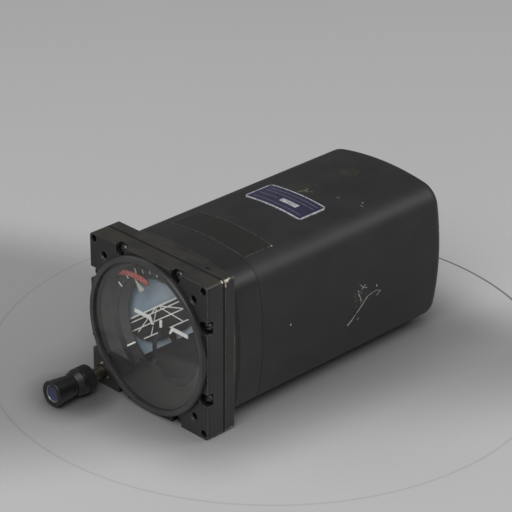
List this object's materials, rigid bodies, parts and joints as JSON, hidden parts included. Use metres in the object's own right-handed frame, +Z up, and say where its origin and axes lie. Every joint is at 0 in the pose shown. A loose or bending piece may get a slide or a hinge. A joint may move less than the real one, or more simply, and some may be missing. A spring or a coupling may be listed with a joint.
{
  "type": "artificial horizon",
  "caption": "Panel gyro horizon with a square bezel, round glass, banked dial, red flag, corner knob and a long rounded case.",
  "frame": {"origin": "centre of the front face of the square plate, where the instrument meets its panel", "axes": "+Y backwards along the case, +Z up, +X right seen from the front"},
  "size_m": [0.0841, 0.2133, 0.0831],
  "materials": {
    "frame_paint": "satin charcoal paint, fine grain",
    "ring_paint": "semi-gloss black paint, bright worn edge",
    "case_paint": "satin charcoal paint",
    "band_paint": "smoother charcoal paint",
    "dial_black": "matt black",
    "mask_grey": "matt dark grey",
    "white_paint": "matt white",
    "pointer_paint": "matt off-white",
    "sky_paint": "matt blue-grey",
    "ground_paint": "matt dark grey",
    "flag_paint": "matt red",
    "glass": "clear polished",
    "rubber": "matt",
    "screw_steel": "blackened, worn slots",
    "bronze": "olive bronze",
    "knob_black": "satin black",
    "disc_blue": "matt blue",
    "plate_navy": "anodised navy, bare rim",
    "aluminium": "machined",
    "steel": "ground",
    "brass": "machined",
    "copper": "wound copper",
    "board_green": "resin board",
    "moulded_black": "moulded"
  },
  "bodies": {
    "case": {"front_frame": "frame_paint", "joint_gasket": "rubber", "rear_flange": "frame_paint", "frame_screws": "screw_steel", "case_band": "band_paint", "joint_sleeve": "aluminium", "case_can": "case_paint", "data_plate": "plate_navy", "case_plug": "case_paint", "bezel_ring": "ring_paint", "glass": "glass", "glass_gasket": "rubber", "apron": "dial_black", "dial_shroud": "mask_grey", "bank_marks": "white_paint", "symbol_guide": "aluminium", "knob_bush": "bronze", "flag_coil": "copper", "chassis_rods": "steel", "chassis_spacers": "aluminium", "bearing_plate_front": "aluminium", "bearing_plate_rear": "aluminium", "roll_bearing_outer": "steel", "brush_block": "moulded_black", "circuit_board": "board_green", "board_parts": "moulded_black", "connector_shell": "aluminium", "connector_screws": "screw_steel", "connector_insert": "moulded_black", "connector_pins": "brass"},
    "roll": {"roll_gimbal": "aluminium", "roll_mask": "mask_grey", "index_marks": "white_paint", "bank_pointer": "pointer_paint", "sky_card": "sky_paint", "roll_shaft": "steel", "roll_bearing_inner": "steel", "slip_rings": "brass", "pitch_bearings": "steel", "horizon_pivots": "steel"},
    "gyro": {"gyro_housing": "aluminium", "gyro_cover": "aluminium", "gyro_stator": "copper", "rotor_bearings": "steel", "pitch_trunnions": "steel", "drive_pin": "steel"},
    "rotor": {"gyro_rotor": "brass"},
    "horizon": {"horizon_arm": "dial_black", "ground_card": "ground_paint", "card_lines": "white_paint"},
    "symbol": {"aircraft_symbol": "white_paint", "symbol_slide": "dial_black"},
    "lever": {"height_lever": "steel"},
    "caging": {"caging_rod": "steel"},
    "knob": {"knob_shaft": "bronze", "knob_collar": "knob_black", "knob_cap": "knob_black", "knob_screw": "screw_steel", "knob_disc": "disc_blue"},
    "flag": {"off_flag": "flag_paint"}
  },
  "joints": [
    {"name": "roll", "type": "hinge", "parent": "case", "child": "roll", "pos_m": [0, 0.06, 0], "axis": [0, 1, 0], "continuous": true},
    {"name": "pitch", "type": "hinge", "parent": "roll", "child": "gyro", "pos_m": [0, 0.06, 0], "axis": [0.7986, 0, 0.6018], "range_deg": [-65.3, 1]},
    {"name": "rotor_spin", "type": "hinge", "parent": "gyro", "child": "rotor", "pos_m": [0, 0.06, 0], "axis": [-0.5067, -0.5395, 0.6724], "continuous": true},
    {"name": "horizon_swing", "type": "hinge", "parent": "roll", "child": "horizon", "pos_m": [0, 0.093, 0], "axis": [0.7986, 0, 0.6018], "range_deg": [-0.3, 16.4]},
    {"name": "flag_swing", "type": "hinge", "parent": "case", "child": "flag", "pos_m": [-0.02919, 0.0052, 0.02208], "axis": [0, -1, 0], "range_deg": [0, 29]},
    {"name": "knob_pull", "type": "slide", "parent": "case", "child": "caging", "axis": [0, -1, 0], "range_m": [0, 0.0045]},
    {"name": "knob_turn", "type": "hinge", "parent": "caging", "child": "knob", "pos_m": [-0.0355, 0, -0.03445], "axis": [0, -1, 0], "range_deg": [-7.85, 2.25]},
    {"name": "lever_swing", "type": "hinge", "parent": "case", "child": "lever", "pos_m": [-0.0355, 0.0053, -0.03445], "axis": [0, -1, 0], "range_deg": [-7.9, 2.3]},
    {"name": "symbol_height", "type": "slide", "parent": "case", "child": "symbol", "axis": [0, 0, 1], "range_m": [-0.00515, 0.00145]}
  ],
  "couplings": [
    {"joint": "horizon_swing", "follows": "pitch", "ratio": -0.25},
    {"joint": "knob_turn", "follows": "symbol_height", "rad_per_m": 26.45},
    {"joint": "lever_swing", "follows": "symbol_height", "rad_per_m": 26.45}
  ]
}
